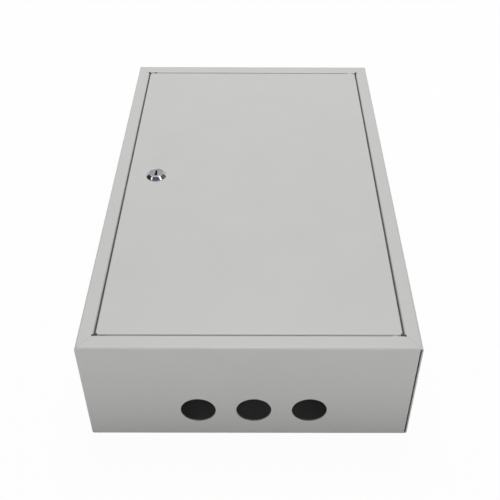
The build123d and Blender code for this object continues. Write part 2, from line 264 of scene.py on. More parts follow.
def corner_arcs(corners: Sequence[tuple[float, float]], radii: Sequence[float], steps: int) -> Array:
    """Rounds a closed outline: each corner becomes an arc tangent to its two sides.

    The arc's centre lies on the bisector, a radius over the sine of half the corner away, and its points
    blend the spokes to both tangent points by the sines of the angle left and the angle gone.

    Args:
        corners: Corner points of the outline.
        radii: Radius at each corner, above zero.
        steps: Points on each arc.

    Returns:
        Points as corners by steps by two.
    """
    tips, radius = np.array(corners, float), np.array(radii, float)[:, None]
    back, ahead = np.roll(tips, 1, 0) - tips, np.roll(tips, -1, 0) - tips
    back /= np.linalg.norm(back, axis=1, keepdims=True)
    ahead /= np.linalg.norm(ahead, axis=1, keepdims=True)
    half = np.arccos(np.clip((back * ahead).sum(1, keepdims=True), -1, 1)) / 2
    middle = (back + ahead) / np.linalg.norm(back + ahead, axis=1, keepdims=True)
    centres = tips + middle * radius / np.sin(half)
    start = tips + back * radius / np.tan(half) - centres
    end = tips + ahead * radius / np.tan(half) - centres
    sweep = (pi - 2 * half)[:, :, None]
    gone = np.linspace(0, 1, steps)[None, :, None]
    spokes = np.sin((1 - gone) * sweep) * start[:, None] + np.sin(gone * sweep) * end[:, None]
    return centres[:, None] + spokes / np.sin(sweep)


def rounded(corners: Sequence[tuple[float, float]], radii: Sequence[float], steps: int = 5) -> Array:
    """Closed outline with rounded corners, as one run of points."""
    return corner_arcs(corners, radii, steps).reshape(-1, 2)


def ring_section(inner: float, outer: float, low: float, high: float, edge: float) -> Array:
    """Section of a flat ring or tube: a rectangle with its four edges rounded alike."""
    return rounded([(inner, low), (outer, low), (outer, high), (inner, high)], [edge] * 4)


def hexagon_reach(angles: Array, flats: float, corner_share: float) -> Array:
    """Distance to a hexagon's edge: half its flats over the cosine of the angle from a flat's middle.

    Args:
        angles: Directions.
        flats: Size across flats.
        corner_share: Share of the full corner radius at which the corners are blunted.

    Returns:
        The distance in each direction.
    """
    sector = TURN / 6
    off_middle = np.mod(angles, sector) - sector / 2
    reach = flats / 2 / np.cos(off_middle)
    return np.minimum(reach, corner_share * flats / 2 / cos(sector / 2))


def flatted_reach(angles: Array, radius: float, flats: float, turn: float = 0.0) -> Array:
    """Distance to a circle cut by two flats, the smaller of its radius and half the flats over the cosine.

    Args:
        angles: Directions.
        radius: Radius of the circle.
        flats: Distance between the flats.
        turn: Direction that one flat faces.

    Returns:
        The distance in each direction.
    """
    across = np.maximum(np.abs(np.cos(angles - turn)), LEAST_COSINE)
    return np.minimum(radius, flats / 2 / across)


def chamfered_hexagon(flats: float, low: float, high: float, angles: Array) -> tuple[Array, Array]:
    """Outside of a nut: a hexagon cut at both ends by a 30-degree cone, so each flat ends in a curve.

    The cone starts at a circle inside the flats, and its drop is the reach past that circle times the
    tangent of its slope.

    Args:
        flats: Size across flats.
        low: Level of the lower face.
        high: Level of the upper face.
        angles: Direction of each column.

    Returns:
        Reach and height of four rows: lower circle, lower curve, upper curve, upper circle.
    """
    face_share, corner_share, slope = 0.475, 0.985, radians(30)
    face = np.full_like(angles, face_share * flats)
    outline = hexagon_reach(angles, flats, corner_share)
    drop = (outline - face) * tan(slope)
    level = np.stack([0 * drop + low, low + drop, high - drop, 0 * drop + high])
    return np.stack([face, outline, outline, face]), level


def hex_nut(
    flats: float, bore: float, height: float, columns: int = 96, sink_share: float = 0.12
) -> Surface:
    """Nut standing on its origin: a chamfered outside, and a bore countersunk at 45 degrees.

    Args:
        flats: Size across flats.
        bore: Radius of the bore.
        height: Height of the nut.
        columns: Steps round the nut.
        sink_share: Width and depth of the countersink, as a share of the bore.

    Returns:
        The nut.
    """
    sink = sink_share * bore
    angles = ring_angles(columns)
    reach, level = chamfered_hexagon(flats, 0, height, angles)
    inner_reach = np.array([bore + sink, bore, bore, bore + sink])
    inner_level = np.array([height, height - sink, sink, 0])
    reach = np.vstack([reach, inner_reach[:, None] + 0 * angles])
    level = np.vstack([level, inner_level[:, None] + 0 * angles])
    return stacked(swept_reach(reach, level, angles), Closing.LOOPED)


@dataclass(frozen=True)
class Thread:
    """Right-hand screw thread."""

    radius: float
    pitch: float
    depth_share: float = 0.58
    crest_share: float = 0.16
    rows_per_pitch: int = 9

    def levels(self, start: float, end: float) -> Array:
        """Heights of the rows from one level to another, close enough together to show each flank."""
        return np.linspace(start, end, max(2, round(abs(end - start) / self.pitch * self.rows_per_pitch)))

    def reach(self, angles: Array, heights: Array) -> Array:
        """Radius of the thread: a triangular wave of height less angle, cut flat at its crest and its root.

        Args:
            angles: Direction of each column.
            heights: Height of each row.

        Returns:
            Radius for each row and column.
        """
        phase = np.mod(heights[:, None] / self.pitch - angles / TURN, 1)
        wave = np.abs(2 * phase - 1)
        cut = np.clip((wave - self.crest_share / 2) / (1 - self.crest_share), 0, 1)
        return self.radius - self.depth_share * self.pitch * cut

    def pointed(self, angles: Array, tip: float, chamfer: float) -> Array:
        """Rings of a threaded length from the origin to a tip, where a cone of 45 degrees cuts it.

        Args:
            angles: Direction of each column.
            tip: Level of the tip, below zero for a shank that points down.
            chamfer: What the cone takes off the radius at the tip.

        Returns:
            Points as rows by columns by three.
        """
        heights = self.levels(0, tip)
        cone = self.radius - chamfer + np.abs(tip - heights)
        reach = np.minimum(self.reach(angles, heights), cone[:, None])
        return swept_reach(reach, heights, angles)


@dataclass(frozen=True)
class StudSize:
    """Sizes of a welded stud and of what goes on it."""

    radius: float = 0.003
    pitch: float = 0.001
    chamfer: float = 0.0006
    nut_flats: float = 0.010
    edge: float = 0.0002
    rod_columns: int = 48
    ring_columns: int = 64

    def form(self, fixing: Fixing, height: float, outer: float) -> Surface:
        """Makes the threaded rod, a turned ring or a hexagon nut.

        Args:
            fixing: Which of them.
            height: Height of the form.
            outer: Outside radius of a ring.

        Returns:
            The form, standing on its origin.
        """
        if fixing is Fixing.NUT:
            return hex_nut(self.nut_flats, self.radius, height)
        if fixing is Fixing.RING:
            section = ring_section(self.radius, outer, 0, height, self.edge)
            return revolved(section, self.ring_columns, Closing.LOOPED)
        thread = Thread(self.radius, self.pitch)
        return stacked(thread.pointed(ring_angles(self.rod_columns), height, self.chamfer), Closing.CAPPED)


class Value:
    """Number that varies over a surface, with the arithmetic that adds its Math nodes."""

    def __init__(self, graph: "Graph", socket: bpy.types.NodeSocket) -> None:
        """Wraps an output socket of a graph."""
        self.graph, self.socket = graph, socket

    def __add__(self, other: "Value | float") -> "Value":
        """Sum."""
        return self.graph.math("ADD", self, other)

    __radd__ = __add__

    def __mul__(self, other: "Value | float") -> "Value":
        """Product."""
        return self.graph.math("MULTIPLY", self, other)

    __rmul__ = __mul__

    def __sub__(self, other: "Value | float") -> "Value":
        """Difference."""
        return self.graph.math("SUBTRACT", self, other)

    def __rsub__(self, other: float) -> "Value":
        """Difference from a number."""
        return self.graph.math("SUBTRACT", other, self)


class Graph:
    """Node tree of one finish or stage surface, with a factory for its nodes."""

    noise_roughness: float = 0.55

    def __init__(self, tree: bpy.types.NodeTree) -> None:
        """Starts with an empty tree."""
        self.tree = tree
        tree.nodes.clear()

    def node(
        self,
        kind: str,
        settings: Mapping[str, Any] | None = None,
        sockets: Mapping[str | int, Any] | None = None,
    ) -> bpy.types.Node:
        """Adds a node, sets its settings and then fills its sockets.

        Args:
            kind: Node type.
            settings: Properties of the node.
            sockets: Numbers, colours, sockets or Values for its inputs, by name or index.

        Returns:
            The new node.
        """
        made = self.tree.nodes.new(kind)
        for name, value in (settings or {}).items():
            setattr(made, name, value)
        for name, value in (sockets or {}).items():
            source = value.socket if isinstance(value, Value) else value
            if isinstance(source, bpy.types.NodeSocket):
                self.tree.links.new(source, made.inputs[name])
            else:
                made.inputs[name].default_value = source
        return made

    def output(self, shader: bpy.types.Node, kind: str = "ShaderNodeOutputMaterial") -> None:
        """Ends the tree with a shader."""
        self.node(kind, None, {"Surface": shader.outputs[0]})

    def math(self, operation: str, first: Value | float, second: Value | float = 0.0) -> Value:
        """Adds a Math node on two values."""
        made = self.node("ShaderNodeMath", {"operation": operation}, {0: first, 1: second})
        return Value(self, made.outputs[0])

    def place(self, shift: Point = (0, 0, 0), stretch: Point = (1, 1, 1)) -> bpy.types.NodeSocket:
        """Object coordinates, scaled along each axis and then shifted.

        Args:
            shift: What is added along each axis.
            stretch: Scale along each axis.

        Returns:
            The coordinates.
        """
        spot = self.node("ShaderNodeTexCoord").outputs["Object"]
        sockets = {"Vector": spot, "Location": shift, "Scale": stretch}
        return self.node("ShaderNodeMapping", None, sockets).outputs["Vector"]

    def noise(self, width: float, detail: float, stretch: Point = (1, 1, 1)) -> Value:
        """Cloudy pattern about its middle, from about minus a half to a half.

        Args:
            width: Width of its patches.
            detail: Number of finer layers.
            stretch: Scale along each axis, below one to draw the patches out.

        Returns:
            The pattern.
        """
        sockets = {"Vector": self.place(stretch=stretch), "Scale": 1 / width, "Detail": detail,
                   "Roughness": self.noise_roughness}
        return Value(self, self.node("ShaderNodeTexNoise", None, sockets).outputs[0]) - 0.5

    def cells(self, width: float) -> Value:
        """Random tone for each crystal-like cell, from minus a half to a half.

        Args:
            width: Width of a cell.

        Returns:
            The tone.
        """
        made = self.node("ShaderNodeTexVoronoi", None, {"Vector": self.place(), "Scale": 1 / width})
        tone = self.node("ShaderNodeRGBToBW", None, {"Color": made.outputs["Color"]})
        return Value(self, tone.outputs[0]) - 0.5

    def from_axis(self, centre: Point) -> Value:
        """Distance from a line along Z: the length of the way from it, with Z left out.

        Args:
            centre: Point on the line.

        Returns:
            The distance.
        """
        spot = self.place(tuple(-along for along in centre))
        flat = self.node("ShaderNodeVectorMath", {"operation": "MULTIPLY"}, {0: spot, 1: (1, 1, 0)})
        made = self.node("ShaderNodeVectorMath", {"operation": "LENGTH"}, {0: flat.outputs[0]})
        return Value(self, made.outputs["Value"])

    def blend(self, share: Value, first: Array, second: Array) -> bpy.types.NodeSocket:
        """Mixes two linear colours by a share from zero to one, through the node's sockets for colours."""
        sockets = {0: share, 6: (*first, 1), 7: (*second, 1)}
        return self.node("ShaderNodeMix", {"data_type": "RGBA"}, sockets).outputs[2]

    def bump(self, height: Value, relief: float) -> bpy.types.NodeSocket:
        """Normal of a surface raised by a pattern that is multiplied by a relief in metres."""
        return self.node("ShaderNodeBump", None, {"Height": height, "Distance": relief}).outputs[0]


def linear(shade: Shade) -> Array:
    """Linear light of an 8-bit screen colour, by the two-part screen curve."""
    share = np.array(shade, float) / 255
    return np.where(share <= 0.04045, share / 12.92, ((share + 0.055) / 1.055) ** 2.4)


def grey(tone: float) -> tuple[float, float, float, float]:
    """Opaque grey of a linear tone, white at one."""
    return tone, tone, tone, 1.0


def weighted(patterns: Sequence[Value], weights: Sequence[float], start: float) -> Value:
    """Patterns times their weights, added to a start. A pattern without weight adds no nodes."""
    return sum((weight * pattern for pattern, weight in zip(patterns, weights) if weight), start)


@dataclass(frozen=True)
class Layer:
    """Cloudy pattern in a finish, about zero, and its weight in the tone, the roughness and the height."""

    width: float
    detail: float = 3.0
    stretch: Point = (1, 1, 1)
    tone: float = 0.0
    roughness: float = 0.0
    height: float = 0.0

    def drawn(self, graph: Graph) -> Value:
        """The pattern in a graph."""
        return graph.noise(self.width, self.detail, self.stretch)


@dataclass(frozen=True)
class Crystals(Layer):
    """Crystals of zinc that each catch the light their own way."""

    def drawn(self, graph: Graph) -> Value:
        """The pattern in a graph."""
        return graph.cells(self.width)


@dataclass(frozen=True)
class LatheRings(Layer):
    """Turning marks: a sine of the distance from an axis along Z, put out of step by grain."""

    centre: Point = (0, 0, 0)
    grain_width: float = 0.00025
    grain_shift: float = 2.5

    def drawn(self, graph: Graph) -> Value:
        """The pattern in a graph."""
        shift = self.grain_shift * graph.noise(self.grain_width, self.detail)
        return graph.math("SINE", graph.from_axis(self.centre) * (TURN / self.width) + shift)


@dataclass(frozen=True)
class Finish:
    """What a piece is coated with or made of: a colour, a gloss and a relief, all varied by layers.

    The tone of the layers blends the shade into its cast. Without a cast, it blends a darker shade into a
    lighter one, each apart from the shade by the spread.
    """

    name: str
    slot: Slot
    shade: Shade
    roughness: float
    layers: tuple[Layer, ...]
    metallic: float = 0.0
    specular: float = 0.5
    relief: float = 0.00001
    spread: float = 0.05
    cast: Shade | None = None
    tone_start: float = 0.5

    def ends(self) -> tuple[Array, Array]:
        """Linear colours at both ends of the tone.

        Returns:
            The first colour and the second.
        """
        colour = linear(self.shade)
        if self.cast:
            return colour, linear(self.cast)
        return colour * (1 - self.spread), np.minimum(colour * (1 + self.spread), 1)

    def material(self) -> bpy.types.Material:
        """Makes the finish's node material the first time it is asked for.

        Returns:
            The material.
        """
        known = bpy.data.materials.get(self.name)
        if known:
            return known
        material = bpy.data.materials.new(self.name)
        material.use_nodes = True
        graph = Graph(material.node_tree)
        patterns = [layer.drawn(graph) for layer in self.layers]
        tone = weighted(patterns, [layer.tone for layer in self.layers], self.tone_start)
        roughness = weighted(patterns, [layer.roughness for layer in self.layers], self.roughness)
        height = weighted(patterns, [layer.height for layer in self.layers], 0.0)
        sockets = {
            "Base Color": graph.blend(tone, *self.ends()),
            "Roughness": roughness,
            "Normal": graph.bump(height, self.relief),
            "Metallic": self.metallic,
            "Specular IOR Level": self.specular,
        }
        graph.output(graph.node("ShaderNodeBsdfPrincipled", None, sockets))
        return material


def joint_place(name: str) -> Vector:
    """Point that a joint of the frame turns about."""
    return Vector(next(joint["pos_m"] for joint in frame["joints"] if joint["name"] == name))


def sheet_thickness() -> float:
    """Thickness of the sheet: the studs start on the inside of the back, whose outside is at zero."""
    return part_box("plate_studs")[0].z


lock_axis = joint_place("lock_turn")

# Satin powder coat: a faint cloudiness, a fine grain and a soft orange peel
COAT_LAYERS = (
    Layer(0.06, tone=1.0, roughness=0.12),
    Layer(0.00045, 2, tone=0.8, roughness=0.16, height=0.35),
    Layer(0.0022, 1, height=1.0),
)
# Plated steel: patches where it was passivated, and grain that breaks up the gloss
PLATED_LAYERS = (
    Layer(0.004, 4, tone=0.9, roughness=0.25),
    Layer(0.0002, tone=0.5, roughness=0.2, height=1.0),
)
# Hot-dipped sheet: two sizes of crystal, and a rolling grain drawn out along Y
DIPPED_LAYERS = (
    Crystals(0.007, tone=0.7, roughness=0.154),
    Crystals(0.00259, tone=0.4, roughness=0.088, height=0.2),
    Layer(0.0006, stretch=(1, 0.03, 1), tone=0.25, roughness=0.2, height=1.0),
)
# Polished plating: faint smears, and hair-fine wiping marks
POLISHED_LAYERS = (
    Layer(0.005, 4, tone=1.0, roughness=0.07),
    Layer(0.0003, 2, (1, 0.08, 1), roughness=0.04, height=1.0),
)
# Satin plating faced on a lathe: patches, grain and the turning marks
TURNED_LAYERS = (
    Layer(0.003, tone=1.0, roughness=0.15),
    Layer(0.00025, height=1.0),
    LatheRings(0.00016, tone=0.25, roughness=0.05, height=1.0, centre=tuple(lock_axis)),
)
# Moulded nylon or rubber: spark-eroded grain with a cloudy gloss
MOULDED_LAYERS = (
    Layer(0.0003, tone=0.5, roughness=0.2, height=1.0),
    Layer(0.004, tone=1.0, roughness=0.2),
)

GREY_COAT = Finish("grey_powder_coat", Slot.PAINT, (197, 198, 196), 0.42, COAT_LAYERS,
                   specular=0.45, relief=0.00003, spread=0.03)
BRIGHT_ZINC = Finish("bright_zinc", Slot.ZINC, (182, 186, 190), 0.3, PLATED_LAYERS,
                     metallic=1.0, relief=0.000004, cast=(190, 186, 170), tone_start=0.35)
RIVET_METAL = Finish("rivet_aluminium", Slot.ALUMINIUM, (200, 201, 203), 0.36, PLATED_LAYERS,
                     metallic=1.0, relief=0.000004, cast=(188, 188, 190), tone_start=0.35)
DIPPED_SHEET = Finish("galvanised_sheet", Slot.ZINC, (176, 180, 183), 0.56, DIPPED_LAYERS,
                      metallic=1.0, relief=0.000004, spread=0.22)
LOCK_CHROME = Finish("lock_chrome", Slot.CHROME, (192, 192, 196), 0.07, POLISHED_LAYERS,
                     metallic=1.0, relief=0.0000006)
PLUG_NICKEL = Finish("plug_nickel", Slot.NICKEL, (142, 137, 141), 0.36, TURNED_LAYERS,
                     metallic=1.0, relief=0.000003, spread=0.08)
BUSH_NYLON = Finish("bush_nylon", Slot.NYLON, (196, 199, 204), 0.45, MOULDED_LAYERS, spread=0.12)
STOP_RUBBER = Finish("stop_rubber", Slot.RUBBER, (38, 38, 39), 0.72, MOULDED_LAYERS,
                     relief=0.00002, spread=0.12)


class SubAssembly:
    """Pieces that come off the bench together."""

    def add(self, name: str, surface: Surface, finish: Finish, body: Body, *nodes: str) -> None:
        """Makes a piece, finishes it and fixes it to its body.

        Args:
            name: Name of the piece.
            surface: Its surface, in place.
            finish: What it is made of.
            body: Body that it rides on.
            nodes: Solids of the frame that it stands for.
        """
        piece = bpy.data.objects.new(name, surface.mesh(name))
        bpy.context.scene.collection.objects.link(piece)
        piece.data.materials.append(finish.material())
        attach(piece, body.value)
        if nodes:
            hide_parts(*nodes)
        faces = 2 * len(surface.quads) + len(surface.triangles)
        log.info("%s: %s, %d triangles, for %s", name, finish.name, faces, ", ".join(nodes) or "no solid")

    def dress(self, finish: Finish, *nodes: str) -> None:
        """Gives solids of the frame a finish.

        Args:
            finish: Finish for all of them.
            nodes: Their names.
        """
        for name in nodes:
            materials = frame["nodes"][name].data.materials
            materials.clear()
            materials.append(finish.material())
            log.info("%s: %s on the solid", name, finish.name)


@dataclass
class Cabinet(SubAssembly):
    """Folded shell and its two ends, welded along their feet and inside the corners where they touch."""

    bead_leg: float = 0.0024
    bead_bulge_share: float = 0.35
    stitch_length: float = 0.024
    stitch_spread: float = 0.052
    stitch_end_share: float = 0.85
    ripple_pitch: float = 0.0017
    ripple_share: float = 0.07
    stitch_rows: int = 76
    stitch_columns: int = 14
    foot_reach: float = 0.0018
    foot_inset: float = 0.00003
    foot_wave: float = 0.00001
    foot_wave_length: float = 0.009
    foot_bury: float = 0.0001
    foot_rows: int = 240
    open_seam: float = 0.0014

    def build(self) -> None:
        """Paints the sheets and lays the welds."""
        self.dress(GREY_COAT, "body_shell", "bottom_panel", "top_panel")
        low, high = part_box("body_shell")
        sheet = sheet_thickness()
        corner_x, corner_y = low.x + sheet, high.y - sheet
        middle = (low.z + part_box("door_panel")[0].z) / 2
        stitches = [
            self.stitch(Vector((corner_x, end * corner_y, middle + shift)), end)
            for end in (-1, 1)
            for shift in (-self.stitch_spread / 2, self.stitch_spread / 2)
        ]
        self.add("corner_welds", Surface.joined(stitches), GREY_COAT, Body.BOX)
        seams = [self.foot_seam(low, high, sheet, end) for end in (-1, 1)]
        self.add("foot_seams", Surface.joined(seams), GREY_COAT, Body.BOX)

    def foot_seam(self, low: Vector, high: Vector, sheet: float, end: int) -> Surface:
        """Weld along the foot of one end, ground flush: a three-cornered section carried along X.

        It fills the groove between the end's bend and the edge of the back. A cosine of the place along X
        moves its face in and out a little, as grinding leaves it.

        Args:
            low: Lowest corner of the shell.
            high: Highest corner of the shell.
            sheet: Thickness of the sheet.
            end: Sign of Y at this end.

        Returns:
            The weld.
        """
        along = np.linspace(low.x + sheet - self.foot_bury, high.x - sheet - self.open_seam, self.foot_rows)
        face = self.foot_inset + self.foot_wave * (1 + np.cos(TURN * along / self.foot_wave_length))
        depth = np.stack([face, face, np.full_like(face, self.foot_reach)], axis=1)
        level = np.array([sheet - self.foot_bury, sheet + self.foot_reach, sheet - self.foot_bury])
        rings = np.stack([along[:, None] + 0 * depth, end * (high.y - depth), level + 0 * depth], axis=-1)
        return stacked(rings, Closing.CAPPED)

    def stitch(self, middle: Vector, end: int) -> Surface:
        """One fillet weld up a left-hand corner: a section carried along Z and scaled along the way.

        The section is two legs on the walls closed by a bulging arc. Its scale rounds off at the ends by
        the eighth power of the distance from the middle, and a cosine of that distance gives the ripples.

        Args:
            middle: Middle of the weld, on the corner's line.
            end: Sign of Y at this corner.

        Returns:
            The weld.
        """
        along = np.linspace(-1, 1, self.stitch_rows)
        ripple = 1 + self.ripple_share * np.cos(along * pi * self.stitch_length / self.ripple_pitch)
        scale = self.bead_leg * (1 - self.stitch_end_share * along**8) * ripple
        turn = np.linspace(0, pi / 2, self.stitch_columns - 1)
        bulge = 1 + self.bead_bulge_share * np.sin(2 * turn)
        reach = bulge / (np.cos(turn) + np.sin(turn))
        section = np.vstack([[0, 0], np.column_stack([reach * np.cos(turn), reach * np.sin(turn)])])
        across = middle.x + scale[:, None] * section[:, 0]
        up = middle.y - end * scale[:, None] * section[:, 1]
        level = middle.z + along[:, None] * self.stitch_length / 2 + 0 * across
        return stacked(np.stack([across, up, level], axis=-1), Closing.CAPPED)


@dataclass
class DoorStops(SubAssembly):
    """Two rubber buffers on the tabs behind the closing edge of the door."""

    length: float = 0.02
    corner_power: float = 7.0
    crown_share: float = 0.3
    crown_rows: int = 9
    columns: int = 72

    def build(self) -> None:
        """Moulds a buffer over each end of the solid."""
        low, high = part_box("door_bumpers")
        places = (low.y + self.length / 2, high.y - self.length / 2)
        buffers = [self.buffer(low, high, place) for place in places]
        self.add("stop_buffers", Surface.joined(buffers), STOP_RUBBER, Body.BOX, "door_bumpers")

    def buffer(self, low: Vector, high: Vector, place: float) -> Surface:
        """One buffer: a stack of blunt oblongs that draws in over the top along a quarter of a circle.

        Each outline is a superellipse, where the powers of both shares of the half sizes add up to one.

        Args:
            low: Lowest corner of the solid.
            high: Highest corner of the solid.
            place: Middle of the buffer along Y.

        Returns:
            The buffer.
        """
        angles = ring_angles(self.columns)
        power = 2 / self.corner_power
        half_width, half_length = (high.x - low.x) / 2, self.length / 2
        x = half_width * np.sign(np.cos(angles)) * np.abs(np.cos(angles)) ** power
        y = half_length * np.sign(np.sin(angles)) * np.abs(np.sin(angles)) ** power
        rise = np.linspace(0, pi / 2, self.crown_rows)
        inset = np.concatenate([[0.0], (1 - np.cos(rise)) * half_width * self.crown_share])
        crown = 1 - self.crown_share * (1 - np.sin(rise))
        height = np.concatenate([[0.0], (high.z - low.z) * crown])
        across = (low.x + high.x) / 2 + (1 - inset / half_width)[:, None] * x
        up = place + (1 - inset / half_length)[:, None] * y
        rings = np.stack([across, up, low.z + height[:, None] + 0 * x], axis=-1)
        return stacked(rings, Closing.CAPPED)


@dataclass
class DoorLeaf(SubAssembly):
    """The door pan."""

    def build(self) -> None:
        """Paints the pan."""
        self.dress(GREY_COAT, "door_panel")


@dataclass
class HingePair(SubAssembly):
    """Bush on each end of the door, held by a blind rivet whose tail swells inside the pan."""

    bore: float = 0.00163
    recess: float = 0.0033
    recess_depth: float = 0.0009
    edge: float = 0.00025
    fine_edge_share: float = 1 / 3
    shank: float = 0.0016
    head_radius: float = 0.0032
    brim_share: float = 0.35
    tail_radius: float = 0.0025
    tail_height: float = 0.002
    swell_share: float = 0.8
    pin_radius: float = 0.0009
    pin_tip_share: float = 0.8
    pin_chamfer: float = 0.0002
    pin_sink_share: float = 0.4
    head_rows: int = 7
    tail_rows: int = 13
    columns: int = 64

    def build(self) -> None:
        """Turns both bushes, then both rivets."""
        pivot = joint_place("door_hinge")
        rivets = []
        for node, facing in (("hinge_bush_upper", Facing.UP), ("hinge_bush_lower", Facing.DOWN)):
            low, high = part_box(node)
            seat = low.y if facing is Facing.UP else high.y
            length = high.y - low.y
            origin = (pivot.x, seat, pivot.z)
            bush = self.bush((high.x - low.x) / 2, length).placed(origin, facing)
            self.add(node.replace("hinge_bush", "turned_bush"), bush, BUSH_NYLON, Body.DOOR, node)
            rivets.append(self.rivet(length).placed(origin, facing))
        self.add("blind_rivets", Surface.joined(rivets), RIVET_METAL, Body.DOOR, "hinge_rivets")

    def bush(self, radius: float, length: float) -> Surface:
        """Flat-ended bush with a recess for the rivet head, turned from its rounded section.

        Args:
            radius: Outside radius.
            length: Length from the door to the free end.

        Returns:
            The bush, standing on the door.
        """
        floor = length - self.recess_depth
        corners = [(self.bore, 0), (radius, 0), (radius, length), (self.recess, length),
                   (self.recess, floor), (self.bore, floor)]
        fine = self.edge * self.fine_edge_share
        section = rounded(corners, [fine, fine, self.edge, fine, fine, fine])
        return revolved(section, self.columns, Closing.LOOPED)

    def rivet(self, bush_length: float) -> Surface:
        """Rivet turned from a profile: a domed head, a shank, and a swollen tail with the end of its pin.

        The tail swells as the sine of an angle that grows along it from 0 to 135 degrees.

        Args:
            bush_length: Length of the bush that it holds.

        Returns:
            The rivet, in the bush's own frame.
        """
        tail_top = -sheet_thickness()
        tail_end = tail_top - self.tail_height
        head_seat = bush_length - self.recess_depth
        gone = np.linspace(0, 1, self.tail_rows)
        swell = np.sin(pi / 2 * gone + pi / 8 * (1 - np.cos(pi * gone)))
        tail = np.column_stack([
            self.shank + (self.tail_radius - self.shank) * swell,
            tail_top - self.swell_share * self.tail_height * gone,
        ])
        dome = np.linspace(0, pi / 2, self.head_rows)
        rise = self.brim_share + (1 - self.brim_share) * np.sin(dome)
        head = np.column_stack([
            self.pin_radius + (self.head_radius - self.pin_radius) * np.cos(dome),
            head_seat + self.recess_depth * rise,
        ])
        profile = np.vstack([
            [(self.pin_radius * self.pin_tip_share, tail_end)],
            [(self.pin_radius, tail_end + self.pin_chamfer)],
            tail[::-1],
            [(self.shank, head_seat), (self.head_radius, head_seat)],
            head,
            [(self.pin_radius, bush_length - self.recess_depth * self.pin_sink_share)],
        ])
        return revolved(profile, self.columns, Closing.CAPPED)


